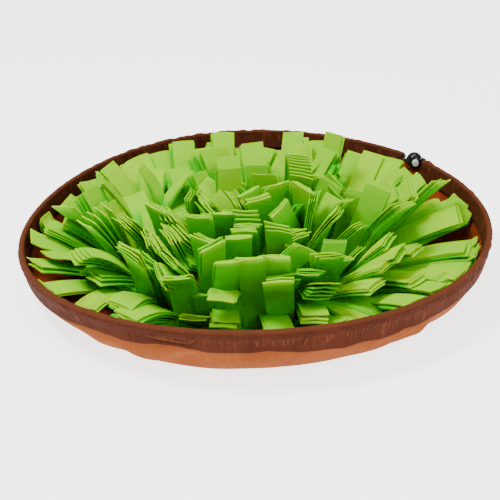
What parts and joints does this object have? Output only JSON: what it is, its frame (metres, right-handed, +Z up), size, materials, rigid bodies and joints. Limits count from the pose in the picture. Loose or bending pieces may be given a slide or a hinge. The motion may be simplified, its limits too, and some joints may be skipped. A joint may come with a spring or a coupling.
{
  "type": "snuffle mat",
  "caption": "Round cloth bowl with a drawstring rim and cord lock, its inside packed with upright felt leaves that hide dry pet food.",
  "frame": {"origin": "middle of the round base, on the surface that the mat lies on", "axes": "+Z up, out of the open bowl; +X +Y points to the cord lock, 38.4 degrees round from +X"},
  "size_m": [0.4776, 0.4821, 0.0994],
  "materials": {
    "tan_cloth": "plain woven polyester cloth, matt with a faint sheen",
    "brown_cloth": "plain woven polyester cloth, gathered in fine puckers, soft satin sheen",
    "dark_cord": "round braided cord, matt",
    "black_plastic": "glossy moulded plastic",
    "grey_plastic": "glossy moulded plastic",
    "green_felt": "pressed felt, matt and slightly fuzzy, paler at its cut edges"
  },
  "bodies": {
    "root": {"bowl": "tan_cloth", "casing": "brown_cloth", "drawstring": "dark_cord", "cord_lock_body": "black_plastic", "fringe_outer": "green_felt", "fringe_middle": "green_felt", "fringe_inner": "green_felt", "fringe_centre": "green_felt"},
    "button": {"cord_lock_button": "grey_plastic"}
  },
  "joints": [
    {"name": "button_press", "type": "slide", "parent": "root", "child": "button", "axis": [0, 1, 0], "range_m": [0, 0.003], "stiffness_N_per_m": 400, "springref_m": -0.003}
  ]
}
